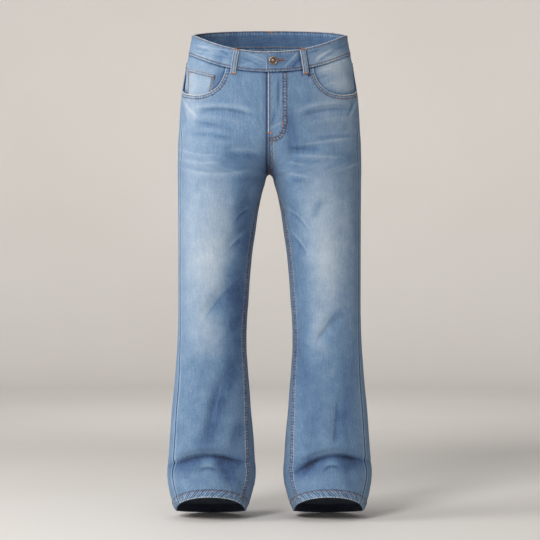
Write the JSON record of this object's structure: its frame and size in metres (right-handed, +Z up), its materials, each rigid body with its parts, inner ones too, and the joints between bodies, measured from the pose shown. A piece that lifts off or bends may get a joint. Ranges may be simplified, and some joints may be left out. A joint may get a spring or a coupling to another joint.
{
  "type": "bootcut jeans",
  "caption": "Faded blue denim bootcut jeans standing open and empty: waistband with a tack button, belt loops, curved front pockets, yoke and flared legs with arched hems",
  "frame": {"origin": "middle of the waist opening, level with the top edge of the waistband at the sides, where a wearer's waist holds the jeans up", "axes": "+X to the wearer's left, -Y the front, +Z up"},
  "size_m": [0.4608, 0.2513, 1.1082],
  "materials": {
    "denim": "matt, stone washed",
    "aged_brass": "aged"
  },
  "bodies": {
    "root": {"front_left": "denim", "front_right": "denim", "back_left": "denim", "back_right": "denim", "yoke_left": "denim", "yoke_right": "denim", "waistband": "denim", "pocket_facing_left": "denim", "pocket_facing_right": "denim", "coin_pocket": "denim", "back_pocket_left": "denim", "back_pocket_right": "denim", "belt_loop_front_left": "denim", "belt_loop_front_right": "denim", "belt_loop_side_left": "denim", "belt_loop_side_right": "denim", "belt_loop_back": "denim", "button": "aged_brass"}
  },
  "joints": []
}
